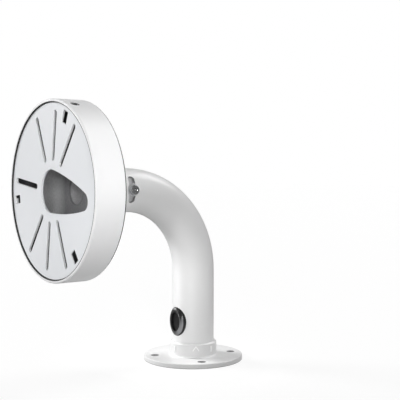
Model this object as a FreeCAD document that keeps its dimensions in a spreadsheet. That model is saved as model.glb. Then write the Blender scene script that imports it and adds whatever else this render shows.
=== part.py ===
import FreeCAD, Part
import math
import os
import Sketcher

# Camera wall bracket, in millimetres and degrees.
# Frame: the origin is the middle of the wall flange's back face, +Z is the flange's outward
# normal. The arm rises along +Z, bends a quarter turn and ends pointing along -Y, where the
# round cap swivels about the arm's end and carries the slotted plate for a turret camera.

SIZES = (
    ("tube_outer", 32, "outside diameter of the bent arm"),
    ("tube_wall", 2, "wall of the arm"),
    ("arm_rise", 69, "wall face to the start of the bend"),
    ("bend_radius", 62, "radius of the bend, at the tube's centre line"),
    ("arm_straight", 33, "straight tube after the bend"),
    ("flange_dia", 76, "wall flange"),
    ("flange_thick", 3.5, "wall flange"),
    ("flange_edge", 0.8, "rounding of the flange's front edge"),
    ("cable_bore", 26, "cable hole through the flange"),
    ("collar_dia", 36, "collar that holds the tube"),
    ("collar_height", 10.5, "collar above the flange"),
    ("collar_bevel", 0.8, "bevel round the collar's top"),
    ("collar_root", 0.8, "rounding where the collar meets the flange"),
    ("socket_depth", 12, "how far the tube goes into the collar"),
    ("socket_clear", 0.1, "gap round the tube in the collar"),
    ("bolt_circle", 60, "circle of the wall screws"),
    ("bolt_hole", 6.5, "hole for a wall screw"),
    ("bolt_count", 4, "wall screws"),
    ("bolt_turn", -24.5, "first wall screw, from +X towards +Y"),
    ("arrow_turn", -30, "raised arrow on the collar"),
    ("arrow_top", 12.8, "tip of the arrow above the wall"),
    ("arrow_width", 4.8, "raised arrow"),
    ("arrow_height", 3.2, "raised arrow"),
    ("mark_stroke", 1.1, "line width of the raised marks"),
    ("mark_proud", 0.4, "height of the raised marks"),
    ("tick_left_turn", 57, "turn from the arrow to the upright tick on its left"),
    ("tick_right_turn", 42, "turn from the arrow to the upright tick on its right"),
    ("tick_length", 4.4, "upright tick"),
    ("outlet_height", 30, "cable outlet above the wall"),
    ("outlet_width", 15.4, "oval cable outlet, across the tube"),
    ("outlet_length", 20.8, "oval cable outlet, along the tube"),
    ("plug_lip", 1.4, "lip of the rubber plug round the outlet"),
    ("plug_clear", 0.15, "gap round the plug's neck"),
    ("plug_proud", 1.4, "plug above the tube's crest"),
    ("plug_shoulder", 3.6, "rounding of the plug's face"),
    ("plug_dish", 1.2, "depth of the dish in the plug's face"),
    ("plug_dish_border", 0.9, "flat border round the dish"),
    ("plug_inner", 9, "inner end of the plug, from the tube's axis"),
    ("plug_seat", 0.05, "gap under the plug's lip"),
    ("swivel_slot_width", 5.2, "slot round the tube for the clamp screw"),
    ("swivel_slot_place", 29.8, "middle of that slot from the tube's end"),
    ("swivel_slot_turn", 2.5, "middle of that slot, from +X towards +Z"),
    ("swivel_travel_turn", 54, "turn between the slot's two end centres"),
    ("swivel_gap", 0.2, "gap between the tube's end and the cap's neck"),
    ("spigot_clear", 0.1, "running gap of the spigot in the tube"),
    ("spigot_length", 32.6, "spigot inside the tube"),
    ("spigot_bore", 20, "cable way through the spigot"),
    ("spigot_lead", 0.8, "bevel on the spigot's end"),
    ("neck_length", 3.8, "neck between the tube's end and the cap"),
    ("neck_root", 0.8, "rounding where the neck meets the cap"),
    ("cap_dia", 126, "round cap"),
    ("cap_depth", 23, "round cap, back to mouth"),
    ("cap_back", 3, "floor of the cap"),
    ("cap_wall", 3.5, "side wall of the cap"),
    ("cap_lip", 2.2, "thin lip round the plate"),
    ("cap_back_round", 2, "rounding of the cap's back edge"),
    ("cap_lip_round", 0.8, "rounding of the lip's outer edge"),
    ("cap_floor_round", 2, "rounding inside, floor to wall"),
    ("plate_recess", 1, "plate below the cap's lip"),
    ("plate_thick", 1.5, "steel plate"),
    ("plate_clear", 0.5, "gap between the plate and the lip"),
    ("plate_turn", -7.5, "plate about the arm's end, from +X towards +Z"),
    ("ray_width", 4, "radial slot of the plate"),
    ("ray_inner", 21, "inner end of a radial slot"),
    ("ray_border", 4.8, "outer end of a radial slot to the plate's edge"),
    ("ray_turn", 60, "first radial slot of each fan"),
    ("ray_fan_turn", 60, "turn across a fan of three radial slots"),
    ("ray_count", 3, "radial slots in a fan"),
    ("eye_radius", 15, "round end of the cable opening"),
    ("eye_tip", 6.2, "radius of the opening's tip"),
    ("eye_border", 9.6, "tip of the opening to the plate's edge"),
    ("eye_side", 200, "radius of the opening's long sides"),
    ("tab_count", 3, "tabs bent back from the plate"),
    ("tab_turn", 75, "first tab, on the plate"),
    ("tab_width", 6, "tab and its window"),
    ("tab_gap", 0.8, "gap between a tab and the cap's wall"),
    ("window_length", 8, "window that the tab was bent from"),
    ("tab_depth", 8.5, "tab behind the plate"),
    ("tab_bend", 1, "rounding where the tab is bent"),
    ("peg_dia", 2.6, "peg of the cap that holds a tab"),
    ("peg_reach", 0.6, "peg past the tab's inner face"),
    ("rim_screw_depth", 6.5, "rim screw and pegs below the cap's mouth"),
    ("rim_thread", 2.9, "rim screw"),
    ("rim_thread_clear", 0.05, "gap round the rim screw in its tab"),
    ("rim_hole_clear", 0.2, "gap round the rim screw in the cap's wall"),
    ("rim_head_dia", 5.4, "rim screw"),
    ("rim_head_height", 1.5, "rim screw"),
    ("rim_head_round", 0.4, "rim screw"),
    ("rim_recess_clear", 0.4, "gap round the rim screw's head"),
    ("rim_recess_depth", 1.6, "recess for the rim screw's head"),
    ("rim_length", 7, "rim screw under its head"),
    ("rim_key", 2, "hexagon socket, across flats"),
    ("rim_key_depth", 0.9, "hexagon socket"),
    ("clamp_turn", 1.5, "clamp screw, from +X towards +Z"),
    ("clamp_thread", 4, "clamp screw"),
    ("clamp_thread_clear", 0.05, "gap round the clamp screw in the spigot"),
    ("clamp_length", 8.2, "clamp screw under its head"),
    ("clamp_head_dia", 7, "clamp screw"),
    ("clamp_head_height", 2.6, "clamp screw"),
    ("clamp_head_round", 0.6, "clamp screw"),
    ("clamp_key", 2.5, "hexagon socket, across flats"),
    ("clamp_key_depth", 1.5, "hexagon socket"),
    ("washer_dia", 9, "washer under the clamp screw"),
    ("washer_hole", 4.4, "washer under the clamp screw"),
    ("washer_thick", 0.8, "washer under the clamp screw"),
    ("washer_gap", 0.1, "washer above the tube's crest"),
)

SHEET = "Sizes"
START, END, CENTRE = range(1, 4)
UP_AXIS, ACROSS_AXIS = range(-2, 0)
ORIGIN_POINT = (ACROSS_AXIS, START)

doc = FreeCAD.newDocument("CameraWallBracket")


class Size:
    """A number together with the sheet formula that gives it."""

    def __init__(self, value, text):
        self.value = float(value)
        self.text = text

    def join(self, other, value, sign):
        """A new size from this one and another, with its formula."""
        return Size(value, "(" + self.text + " " + sign + " " + other.text + ")")

    def __add__(self, other):
        other = size_of(other)
        return self.join(other, self.value + other.value, "+")

    def __sub__(self, other):
        other = size_of(other)
        return self.join(other, self.value - other.value, "-")

    def __mul__(self, other):
        other = size_of(other)
        return self.join(other, self.value * other.value, "*")

    def __truediv__(self, other):
        other = size_of(other)
        return self.join(other, self.value / other.value, "/")

    def __neg__(self):
        return Size(-self.value, "(0 - " + self.text + ")")


def size_of(number):
    """A size as it is, or a bare number made into one."""
    if isinstance(number, Size):
        return number
    return Size(number, str(number))


def write_sheet():
    """Writes the sizes to the sheet and gives them back by name."""
    sheet = doc.addObject("Spreadsheet::Sheet", SHEET)
    named = {}
    for row, (name, value, meaning) in enumerate(SIZES, start=1):
        sheet.set("A" + str(row), name)
        sheet.set("B" + str(row), str(value))
        sheet.set("C" + str(row), meaning)
        sheet.setAlias("B" + str(row), name)
        named[name] = Size(value, SHEET + "." + name)
    doc.recompute()
    return named


s = write_sheet()
ZERO = Size(0, "0")

# Sizes that follow from the driving ones.
tube_radius = s["tube_outer"] / 2
tube_bore = tube_radius - s["tube_wall"]
tube_foot = s["flange_thick"] + s["collar_height"] - s["socket_depth"]
end_height = s["arm_rise"] + s["bend_radius"]
tube_end = s["bend_radius"] + s["arm_straight"]
cap_back_place = tube_end + s["swivel_gap"] + s["neck_length"]
cap_radius = s["cap_dia"] / 2
spigot_radius = tube_bore - s["spigot_clear"]
slot_place = tube_end - s["swivel_slot_place"]
clamp_place = -(cap_back_place - slot_place)
plate_rear = s["cap_depth"] - s["plate_recess"] - s["plate_thick"]
plate_radius = cap_radius - s["cap_lip"] - s["plate_clear"]
ray_outer = plate_radius - s["ray_border"]
eye_reach = plate_radius - s["eye_border"] - s["eye_tip"]
tab_outer = cap_radius - s["cap_wall"] - s["tab_gap"] - s["plate_thick"]
tab_inner = tab_outer - s["window_length"]
rim_place = s["cap_depth"] - s["rim_screw_depth"]
rim_seat = cap_radius - s["rim_recess_depth"]
clamp_seat = tube_radius + s["washer_gap"] + s["washer_thick"]
plug_half_width = s["outlet_width"] / 2 + s["plug_lip"]
plug_half_length = s["outlet_length"] / 2 + s["plug_lip"]
plug_face = tube_radius + s["plug_proud"]


# Small tools for placing and drawing

def shift(x, y, z):
    """Formula of a plain move."""
    return "placement(vector({}; {}; {}); rotation(vector(0; 0; 1); 0))".format(
        size_of(x).text, size_of(y).text, size_of(z).text)


def turn(axis, angle):
    """Formula of a plain turn about one of the three axes."""
    vector = {"x": "1; 0; 0", "y": "0; 1; 0", "z": "0; 0; 1"}[axis]
    return "placement(vector(0; 0; 0); rotation(vector({}); {}))".format(vector, size_of(angle).text)


def chain(*moves):
    """Formula of several moves, the outermost first."""
    return " * ".join(moves)


# The cap's frame: +Z from the cap's back towards its mouth, +X as the bracket's, +Y upwards.
HEAD = chain(shift(ZERO, -cap_back_place, end_height), turn("x", 90))


def radial(angle, height, radius):
    """Formula of a frame whose +Z points outwards, at an angle from +X and a height along Z."""
    return chain(shift(0, 0, height), turn("z", angle), shift(radius, 0, 0), turn("y", 90))


def tab_angle(number):
    """Where a tab of the plate sits, from +X in the cap's frame; the first takes the screw."""
    return s["plate_turn"] + s["tab_turn"] + Size(360, "360") / s["tab_count"] * (number - 1)


def new_body(name, placement=None):
    """A body of its own, with the label that names its file."""
    body = doc.addObject("PartDesign::Body", name)
    body.Label = name
    if placement is not None:
        body.setExpression("Placement", placement)
    return body


def origin_of(body, role):
    """One of the body's own origin planes or axes."""
    for feature in body.Origin.OriginFeatures:
        if feature.Role == role:
            return feature
    raise ValueError(role)


def new_sketch(body, name, plane, offset=None):
    """A sketch on one of the body's own origin planes, moved by a formula."""
    sketch = body.newObject("Sketcher::SketchObject", name)
    sketch.AttachmentSupport = (origin_of(body, plane), [""])
    sketch.MapMode = "FlatFace"
    if offset is not None:
        sketch.setExpression("AttachmentOffset", offset)
    return sketch


def hold(sketch, kind, *where, size):
    """A dimension of the sketch that is bound to the sheet."""
    index = sketch.addConstraint(Sketcher.Constraint(kind, *where, size.value))
    sketch.setExpression("Constraints[" + str(index) + "]", size.text)


def rule(sketch, kind, *where):
    """A geometric rule of the sketch."""
    sketch.addConstraint(Sketcher.Constraint(kind, *where))


def hold_point(sketch, geometry, place, x, y):
    """Holds a point of the sketch at two sizes from the sketch's origin."""
    for kind, axis, size in (("DistanceX", UP_AXIS, x), ("DistanceY", ACROSS_AXIS, y)):
        if size.value == 0:
            rule(sketch, "PointOnObject", geometry, place, axis)
        else:
            hold(sketch, kind, *ORIGIN_POINT, geometry, place, size=size)


def draw_outline(sketch, corners):
    """A closed outline of straight edges through corners given as pairs of sizes."""
    corners = [(size_of(x), size_of(y)) for x, y in corners]
    first = sketch.GeometryCount
    points = [FreeCAD.Vector(x.value, y.value, 0) for x, y in corners]
    for start, end in zip(points, points[1:] + points[:1]):
        sketch.addGeometry(Part.LineSegment(start, end), False)
    for index, (x, y) in enumerate(corners):
        following = first + (index + 1) % len(corners)
        rule(sketch, "Coincident", first + index, END, following, START)
        hold_point(sketch, first + index, START, x, y)


def draw_circle(sketch, x, y, diameter):
    """A circle with its centre and diameter held."""
    x, y = size_of(x), size_of(y)
    centre = FreeCAD.Vector(x.value, y.value, 0)
    circle = Part.Circle(centre, FreeCAD.Vector(0, 0, 1), diameter.value / 2)
    index = sketch.addGeometry(circle, False)
    hold_point(sketch, index, CENTRE, x, y)
    hold(sketch, "Diameter", index, size=diameter)


def draw_oval(sketch, half_width, half_length):
    """An upright ellipse about the sketch's origin."""
    top = FreeCAD.Vector(0, half_length.value, 0)
    side = FreeCAD.Vector(-half_width.value, 0, 0)
    index = sketch.addGeometry(Part.Ellipse(top, side, FreeCAD.Vector(0, 0, 0)), False)
    sketch.exposeInternalGeometry(index)
    long_line, short_line = index + 1, index + 2
    rule(sketch, "Coincident", index, CENTRE, *ORIGIN_POINT)
    rule(sketch, "Vertical", long_line)
    hold(sketch, "Distance", long_line, size=half_length * 2)
    hold(sketch, "Distance", short_line, size=half_width * 2)


def draw_ray(sketch, inner, outer, width):
    """A round-ended slot along the sketch's +X, from inner to outer."""
    half = width / 2
    near, far = inner + half, outer - half
    turn_at = FreeCAD.Vector(0, 0, 1)
    quarter = math.pi / 2
    near_circle = Part.Circle(FreeCAD.Vector(near.value, 0, 0), turn_at, half.value)
    far_circle = Part.Circle(FreeCAD.Vector(far.value, 0, 0), turn_at, half.value)
    near_arc = sketch.addGeometry(Part.ArcOfCircle(near_circle, quarter, 3 * quarter), False)
    far_arc = sketch.addGeometry(Part.ArcOfCircle(far_circle, -quarter, quarter), False)
    lower = sketch.addGeometry(Part.LineSegment(
        FreeCAD.Vector(near.value, -half.value, 0), FreeCAD.Vector(far.value, -half.value, 0)), False)
    upper = sketch.addGeometry(Part.LineSegment(
        FreeCAD.Vector(far.value, half.value, 0), FreeCAD.Vector(near.value, half.value, 0)), False)
    rule(sketch, "Tangent", near_arc, END, lower, START)
    rule(sketch, "Tangent", lower, END, far_arc, START)
    rule(sketch, "Tangent", far_arc, END, upper, START)
    rule(sketch, "Tangent", upper, END, near_arc, START)
    hold_point(sketch, near_arc, CENTRE, near, ZERO)
    hold_point(sketch, far_arc, CENTRE, far, ZERO)
    hold(sketch, "Radius", far_arc, size=half)


def draw_hexagon(sketch, across):
    """A hexagon about the sketch's origin, by its width across flats."""
    corner = across / math.sqrt(3)
    half_flat = across / 2
    draw_outline(sketch, (
        (corner, ZERO), (corner / 2, half_flat), (-corner / 2, half_flat),
        (-corner, ZERO), (-corner / 2, -half_flat), (corner / 2, -half_flat)))


def draw_eye(sketch, radius, reach, tip, side):
    """The drop-shaped opening: a round end, a small tip and two long bowed sides."""
    r, d, t, w = radius.value, reach.value, tip.value, side.value
    # The bowed side touches both end circles from outside, so its centre is w - r from the
    # round end's centre and w - t from the tip's.
    cx = ((w - r) ** 2 - (w - t) ** 2 + d ** 2) / (2 * d)
    cy = math.sqrt((w - r) ** 2 - cx ** 2)
    lean_round = math.atan2(cy, -cx)
    lean_tip = math.atan2(cy, d - cx)
    normal = FreeCAD.Vector(0, 0, 1)
    round_end = Part.Circle(FreeCAD.Vector(0, 0, 0), normal, r)
    tip_end = Part.Circle(FreeCAD.Vector(d, 0, 0), normal, t)
    top_side = Part.Circle(FreeCAD.Vector(cx, -cy, 0), normal, w)
    low_side = Part.Circle(FreeCAD.Vector(cx, cy, 0), normal, w)
    big = sketch.addGeometry(Part.ArcOfCircle(round_end, lean_round, 2 * math.pi - lean_round), False)
    low = sketch.addGeometry(Part.ArcOfCircle(low_side, -lean_round, -lean_tip), False)
    small = sketch.addGeometry(Part.ArcOfCircle(tip_end, -lean_tip, lean_tip), False)
    top = sketch.addGeometry(Part.ArcOfCircle(top_side, lean_tip, lean_round), False)
    rule(sketch, "Tangent", big, END, low, START)
    rule(sketch, "Tangent", low, END, small, START)
    rule(sketch, "Tangent", small, END, top, START)
    rule(sketch, "Tangent", top, END, big, START)
    rule(sketch, "Coincident", big, CENTRE, *ORIGIN_POINT)
    hold_point(sketch, small, CENTRE, reach, ZERO)
    hold(sketch, "Radius", big, size=radius)
    hold(sketch, "Radius", small, size=tip)
    hold(sketch, "Radius", top, size=side)
    rule(sketch, "Equal", top, low)


def revolve(body, name, sketch):
    """Turns the sketch all the way round its own upright axis."""
    feature = body.newObject("PartDesign::Revolution", name)
    feature.Profile = sketch
    feature.ReferenceAxis = (sketch, ["V_Axis"])
    feature.Angle = 360
    return feature


def pad(body, name, sketch, length, backwards=False):
    """Thickens the sketch along its normal, or against it."""
    feature = body.newObject("PartDesign::Pad", name)
    feature.Profile = sketch
    feature.Reversed = backwards
    feature.setExpression("Length", length.text)
    return feature


def pocket(body, name, sketch, length, along=True, both=False):
    """Cuts the sketch along its normal, against it, or half each way."""
    feature = body.newObject("PartDesign::Pocket", name)
    feature.Profile = sketch
    feature.Reversed = along
    feature.setExpression("Length", length.text)
    if both:
        feature.SideType = "Symmetric"
    return feature


def pattern(body, name, features, count, angle=None):
    """Repeats features about the body's Z axis and makes the repeats count."""
    feature = body.newObject("PartDesign::PolarPattern", name)
    feature.Originals = features
    feature.Axis = (origin_of(body, "Z_Axis"), [""])
    feature.setExpression("Occurrences", count.text)
    feature.Angle = 360
    if angle is not None:
        feature.setExpression("Angle", angle.text)
    body.Tip = feature
    return feature


def ring_edges(feature, radius, height):
    """Names of the feature's round edges about Z with this radius at this height."""
    names = []
    for index, edge in enumerate(feature.Shape.Edges, start=1):
        curve = edge.Curve
        if not isinstance(curve, Part.Circle) or abs(abs(curve.Axis.z) - 1) > 1e-6:
            continue
        if abs(curve.Radius - radius.value) < 1e-4 and abs(curve.Center.z - height.value) < 1e-4:
            names.append("Edge" + str(index))
    return names


def dress(body, name, kind, base, edges, size):
    """Rounds or bevels the named edges of the feature before it."""
    if not edges:
        raise ValueError(name + " found no edge")
    feature = body.newObject("PartDesign::" + kind, name)
    feature.Base = (base, edges)
    feature.setExpression("Radius" if kind == "Fillet" else "Size", size.text)
    doc.recompute()
    return feature


# Wall flange, cast in one with the collar that the tube stands in

def build_flange():
    body = new_body("wall_flange")
    radius, collar = s["flange_dia"] / 2, s["collar_dia"] / 2
    socket, bore = tube_radius + s["socket_clear"], s["cable_bore"] / 2
    top = s["flange_thick"] + s["collar_height"]
    profile = new_sketch(body, "flange_profile", "XZ_Plane")
    draw_outline(profile, (
        (bore, ZERO), (radius, ZERO), (radius, s["flange_thick"]), (collar, s["flange_thick"]),
        (collar, top), (socket, top), (socket, tube_foot), (bore, tube_foot)))
    turned = revolve(body, "flange_turned", profile)
    doc.recompute()
    edge = ring_edges(turned, radius, s["flange_thick"])
    rounded = dress(body, "flange_edge_round", "Fillet", turned, edge, s["flange_edge"])
    root = ring_edges(rounded, collar, s["flange_thick"])
    rooted = dress(body, "collar_root_round", "Fillet", rounded, root, s["collar_root"])
    rim = ring_edges(rooted, collar, top)
    dress(body, "collar_top_bevel", "Chamfer", rooted, rim, s["collar_bevel"])
    hole = new_sketch(body, "bolt_hole_sketch", "XY_Plane", turn("z", s["bolt_turn"]))
    draw_circle(hole, s["bolt_circle"] / 2, ZERO, s["bolt_hole"])
    drilled = pocket(body, "bolt_hole", hole, s["flange_thick"] * 2)
    doc.recompute()
    pattern(body, "bolt_holes", [drilled], s["bolt_count"])
    add_marks(body, collar)
    return body


def add_marks(body, collar):
    """The raised arrow and the two upright ticks beside it."""
    depth = s["mark_proud"] * 2
    floor = collar - s["mark_proud"]
    half, stroke = s["arrow_width"] / 2, s["mark_stroke"]
    foot = s["arrow_top"] - s["arrow_height"]
    arrow = new_sketch(body, "arrow_sketch", "YZ_Plane",
                       chain(turn("y", s["arrow_turn"]), shift(0, 0, floor)))
    draw_outline(arrow, (
        (-half, foot), (ZERO, s["arrow_top"]), (half, foot),
        (half, foot - stroke), (ZERO, s["arrow_top"] - stroke), (-half, foot - stroke)))
    pad(body, "arrow", arrow, depth)
    low = s["arrow_top"] - s["tick_length"] - stroke
    for name, angle in (("tick_left", s["arrow_turn"] - s["tick_left_turn"]),
                        ("tick_right", s["arrow_turn"] + s["tick_right_turn"])):
        tick = new_sketch(body, name + "_sketch", "YZ_Plane",
                          chain(turn("y", angle), shift(0, 0, floor)))
        draw_outline(tick, (
            (-stroke / 2, low), (stroke / 2, low),
            (stroke / 2, low + s["tick_length"]), (-stroke / 2, low + s["tick_length"])))
        pad(body, name, tick, depth)


# Bent arm: one tube, with the cable outlet and the swivel slot cut in it

def build_arm():
    body = new_body("arm_tube")
    ring = new_sketch(body, "tube_section", "XY_Plane", shift(0, 0, tube_foot))
    draw_circle(ring, ZERO, ZERO, s["tube_outer"])
    draw_circle(ring, ZERO, ZERO, tube_bore * 2)
    path = new_sketch(body, "tube_path", "YZ_Plane")
    draw_path(path)
    pipe = body.newObject("PartDesign::AdditivePipe", "tube_swept")
    pipe.Profile = ring
    pipe.Spine = (path, ["Edge1", "Edge2", "Edge3"])
    outlet = new_sketch(body, "outlet_sketch", "XZ_Plane", shift(0, s["outlet_height"], 0))
    draw_oval(outlet, s["outlet_width"] / 2, s["outlet_length"] / 2)
    pocket(body, "outlet", outlet, s["tube_outer"], along=True)
    cut_swivel_slot(body)
    return body


def draw_path(path):
    """Straight up, a quarter turn towards -Y, and straight out to the tube's end."""
    rise, radius, end = s["arm_rise"].value, s["bend_radius"].value, tube_end.value
    bend = Part.Circle(FreeCAD.Vector(-radius, rise, 0), FreeCAD.Vector(0, 0, 1), radius)
    up = path.addGeometry(Part.LineSegment(
        FreeCAD.Vector(0, tube_foot.value, 0), FreeCAD.Vector(0, rise, 0)), False)
    arc = path.addGeometry(Part.ArcOfCircle(bend, 0, math.pi / 2), False)
    out = path.addGeometry(Part.LineSegment(
        FreeCAD.Vector(-radius, rise + radius, 0), FreeCAD.Vector(-end, rise + radius, 0)), False)
    rule(path, "Vertical", up)
    rule(path, "Horizontal", out)
    rule(path, "Tangent", up, END, arc, START)
    rule(path, "Tangent", arc, END, out, START)
    hold_point(path, up, START, ZERO, tube_foot)
    hold(path, "DistanceY", *ORIGIN_POINT, up, END, size=s["arm_rise"])
    hold(path, "Radius", arc, size=s["bend_radius"])
    hold(path, "DistanceX", *ORIGIN_POINT, out, END, size=-tube_end)


def cut_swivel_slot(body):
    """The slot part way round the tube, with a round end at each end of the travel."""
    half = s["swivel_slot_width"] / 2
    middle = new_sketch(body, "swivel_slot_sketch", "XY_Plane",
                        chain(shift(0, 0, end_height), turn("y", -s["swivel_slot_turn"])))
    inside, outside = tube_bore - s["tube_wall"], tube_radius + s["tube_wall"]
    draw_outline(middle, (
        (inside, -slot_place - half), (outside, -slot_place - half),
        (outside, -slot_place + half), (inside, -slot_place + half)))
    groove = body.newObject("PartDesign::Groove", "swivel_slot")
    groove.Profile = middle
    groove.ReferenceAxis = (middle, ["V_Axis"])
    groove.Midplane = True
    groove.setExpression("Angle", s["swivel_travel_turn"].text)
    for name, angle in (("swivel_slot_low", s["swivel_slot_turn"] - s["swivel_travel_turn"] / 2),
                        ("swivel_slot_high", s["swivel_slot_turn"] + s["swivel_travel_turn"] / 2)):
        end = new_sketch(body, name + "_sketch", "YZ_Plane",
                         chain(shift(0, end_height, 0), turn("x", -angle)))
        draw_circle(end, -slot_place, ZERO, s["swivel_slot_width"])
        pocket(body, name, end, s["tube_outer"], along=True)


# Rubber plug in the cable outlet: an oval button on the tube with a neck through its wall

def build_plug():
    body = new_body("cable_plug", chain(shift(0, 0, s["outlet_height"]), turn("x", 90)))
    face = new_sketch(body, "plug_outline", "XY_Plane", shift(0, 0, s["plug_inner"]))
    draw_oval(face, plug_half_width, plug_half_length)
    button = pad(body, "plug_button", face, plug_face - s["plug_inner"])
    doc.recompute()
    top = top_edges(button, plug_face)
    dress(body, "plug_shoulder", "Fillet", button, top, s["plug_shoulder"])
    under = new_sketch(body, "plug_under_sketch", "XZ_Plane")
    draw_circle(under, ZERO, ZERO, (tube_radius + s["plug_seat"]) * 2)
    pocket(body, "plug_under", under, plug_half_length * 3, both=True)
    neck = new_sketch(body, "plug_neck_sketch", "XY_Plane", shift(0, 0, s["plug_inner"]))
    draw_oval(neck, s["outlet_width"] / 2 - s["plug_clear"], s["outlet_length"] / 2 - s["plug_clear"])
    pad(body, "plug_neck", neck, tube_radius - s["plug_inner"])
    border = s["plug_shoulder"] + s["plug_dish_border"]
    dish = new_sketch(body, "plug_dish_sketch", "XY_Plane", shift(0, 0, plug_face))
    draw_oval(dish, plug_half_width - border, plug_half_length - border)
    pocket(body, "plug_dish", dish, s["plug_dish"], along=False)
    return body


def top_edges(feature, height):
    """Names of the edges that lie wholly at this height."""
    names = []
    for index, edge in enumerate(feature.Shape.Edges, start=1):
        box = edge.BoundBox
        if abs(box.ZMin - height.value) < 1e-4 and abs(box.ZMax - height.value) < 1e-4:
            names.append("Edge" + str(index))
    return names


# Round cap, cast in one with its neck and the spigot that turns in the tube

def build_cap():
    body = new_body("camera_cap", HEAD)
    neck, spigot, bore = tube_radius, spigot_radius, s["spigot_bore"] / 2
    lip, wall = cap_radius - s["cap_lip"], cap_radius - s["cap_wall"]
    neck_end = -s["neck_length"]
    spigot_end = neck_end - s["spigot_length"]
    profile = new_sketch(body, "cap_profile", "XZ_Plane")
    draw_outline(profile, (
        (bore, spigot_end), (spigot, spigot_end), (spigot, neck_end), (neck, neck_end),
        (neck, ZERO), (cap_radius, ZERO), (cap_radius, s["cap_depth"]), (lip, s["cap_depth"]),
        (lip, plate_rear), (wall, plate_rear), (wall, s["cap_back"]), (bore, s["cap_back"])))
    turned = revolve(body, "cap_turned", profile)
    doc.recompute()
    feature = turned
    for name, kind, radius, height, size in (
            ("cap_back_edge", "Fillet", cap_radius, ZERO, s["cap_back_round"]),
            ("cap_lip_edge", "Fillet", cap_radius, s["cap_depth"], s["cap_lip_round"]),
            ("cap_floor_edge", "Fillet", wall, s["cap_back"], s["cap_floor_round"]),
            ("neck_root_edge", "Fillet", neck, ZERO, s["neck_root"]),
            ("spigot_lead_edge", "Chamfer", spigot, spigot_end, s["spigot_lead"])):
        feature = dress(body, name, kind, feature, ring_edges(feature, radius, height), size)
    cut_rim_screw_seat(body)
    add_pegs(body, wall)
    tapped = new_sketch(body, "clamp_thread_sketch", "YZ_Plane", turn("y", s["clamp_turn"]))
    draw_circle(tapped, ZERO, clamp_place, s["clamp_thread"] + s["clamp_thread_clear"] * 2)
    tap = pocket(body, "clamp_thread_hole", tapped, s["tube_outer"], along=True)
    body.Tip = tap
    return body


def cut_rim_screw_seat(body):
    """A hole through the side wall, with a flat recess for the screw's head."""
    angle = tab_angle(1)
    hole = new_sketch(body, "rim_hole_sketch", "YZ_Plane", turn("y", angle))
    draw_circle(hole, ZERO, rim_place, s["rim_thread"] + s["rim_hole_clear"] * 2)
    pocket(body, "rim_hole", hole, cap_radius * 2, along=True)
    seat = new_sketch(body, "rim_seat_sketch", "YZ_Plane",
                      chain(turn("y", angle), shift(0, 0, rim_seat)))
    draw_circle(seat, ZERO, rim_place, s["rim_head_dia"] + s["rim_recess_clear"] * 2)
    pocket(body, "rim_seat", seat, s["rim_recess_depth"] * 2, along=True)


def add_pegs(body, wall):
    """Short pegs on the inside of the side wall, one in the hole of each tab without a screw."""
    start = tab_outer - s["peg_reach"]
    for number in range(2, int(s["tab_count"].value) + 1):
        name = "peg_" + str(number)
        end = new_sketch(body, name + "_sketch", "YZ_Plane",
                         chain(turn("y", tab_angle(number)), shift(0, 0, start)))
        draw_circle(end, ZERO, rim_place, s["peg_dia"])
        pad(body, name, end, wall - start + s["cap_wall"] / 2)


# Slotted steel plate, held at three tabs that are bent back out of it

def build_plate():
    body = new_body("mounting_plate", chain(HEAD, shift(0, 0, plate_rear), turn("z", s["plate_turn"])))
    disc = new_sketch(body, "plate_outline", "XY_Plane")
    draw_circle(disc, ZERO, ZERO, plate_radius * 2)
    pad(body, "plate_disc", disc, s["plate_thick"])
    cut_through = s["plate_thick"] * 4
    eye = new_sketch(body, "eye_sketch", "XY_Plane")
    draw_eye(eye, s["eye_radius"], eye_reach, s["eye_tip"], s["eye_side"])
    pocket(body, "eye", eye, cut_through, both=True)
    single = new_sketch(body, "ray_single_sketch", "XY_Plane", turn("z", 180))
    draw_ray(single, s["ray_inner"], ray_outer, s["ray_width"])
    pocket(body, "ray_single", single, cut_through, both=True)
    for name, start in (("upper", s["ray_turn"]), ("lower", s["ray_turn"] + 180)):
        ray = new_sketch(body, "ray_" + name + "_sketch", "XY_Plane", turn("z", start))
        draw_ray(ray, s["ray_inner"], ray_outer, s["ray_width"])
        cut = pocket(body, "ray_" + name, ray, cut_through, both=True)
        doc.recompute()
        pattern(body, "rays_" + name, [cut], s["ray_count"], s["ray_fan_turn"])
    add_tabs(body, cut_through)
    return body


def add_tabs(body, cut_through):
    """The windows, each with the tab that was bent back from it and its round hole."""
    angle = s["tab_turn"]
    half = s["tab_width"] / 2
    window = new_sketch(body, "window_sketch", "XY_Plane", turn("z", angle))
    draw_outline(window, (
        (tab_inner, -half), (tab_outer, -half), (tab_outer, half), (tab_inner, half)))
    opened = pocket(body, "window", window, cut_through, both=True)
    tab = new_sketch(body, "tab_sketch", "YZ_Plane",
                     chain(turn("y", angle), shift(0, 0, tab_outer)))
    draw_tab(tab, half, s["plate_thick"] / 2, s["tab_depth"])
    bent = pad(body, "tab", tab, s["plate_thick"])
    screw = new_sketch(body, "tab_hole_sketch", "YZ_Plane", turn("y", angle))
    draw_circle(screw, ZERO, rim_place - plate_rear, s["rim_thread"] + s["rim_thread_clear"] * 2)
    hole = pocket(body, "tab_hole", screw, cap_radius, along=True)
    doc.recompute()
    repeated = pattern(body, "tabs", [opened, bent, hole], s["tab_count"])
    doc.recompute()
    edges = []
    for index, edge in enumerate(repeated.Shape.Edges, start=1):
        box = edge.BoundBox
        middle = edge.CenterOfMass
        reach = math.hypot(middle.x, middle.y)
        flat = abs(box.ZMin - s["plate_thick"].value) < 1e-4 and abs(box.ZMax - box.ZMin) < 1e-4
        if flat and abs(reach - tab_outer.value) < 1e-3 and abs(edge.Length - half.value * 2) < 1e-3:
            edges.append("Edge" + str(index))
    body.Tip = dress(body, "tab_bends", "Fillet", repeated, edges, s["tab_bend"])


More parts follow.
